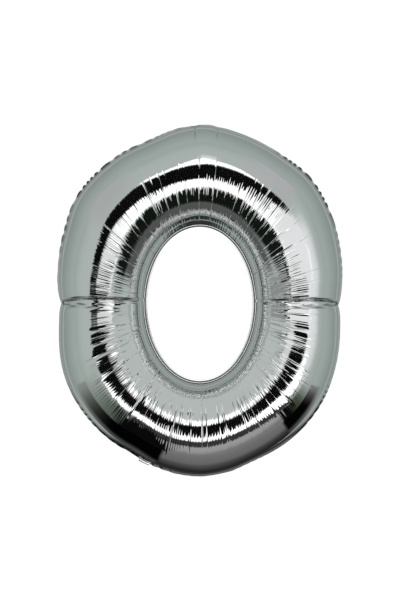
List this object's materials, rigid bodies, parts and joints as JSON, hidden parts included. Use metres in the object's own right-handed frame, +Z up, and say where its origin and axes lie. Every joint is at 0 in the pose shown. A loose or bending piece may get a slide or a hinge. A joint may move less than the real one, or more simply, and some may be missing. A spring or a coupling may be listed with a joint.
{
  "type": "foil number balloon",
  "caption": "Inflated silver foil balloon shaped as the digit zero, with welded rims, an inner film valve and a fold-away inflation tail.",
  "frame": {"origin": "under the middle of the balloon, level with its lowest point", "axes": "+Z up, the front of the digit faces -Y, +X to the right seen from the front"},
  "size_m": [0.697, 0.2336, 0.864],
  "materials": {
    "foil": "mirror-bright metallised film",
    "weld": "finely embossed heat seal",
    "valve_film": "clear soft film",
    "coating": "matt printed release coating"
  },
  "bodies": {
    "balloon": {"front_panel": "foil", "back_panel": "foil", "outer_heat_seal": "weld", "inner_heat_seal": "weld", "valve_film_front": "valve_film", "valve_film_back": "valve_film", "valve_side_weld_left": "weld", "valve_side_weld_right": "weld", "valve_release_coating": "coating"},
    "tail": {"tail_foil_front": "foil", "tail_foil_back": "foil", "tail_side_seal_left": "weld", "tail_side_seal_right": "weld", "tail_valve_film_front": "valve_film", "tail_valve_film_back": "valve_film"}
  },
  "joints": [
    {"name": "tail_fold", "type": "hinge", "parent": "balloon", "child": "tail", "pos_m": [-0.13811, 0, 0.03151], "axis": [-0.9053, 0, 0.4248], "range_deg": [0, 180]}
  ]
}
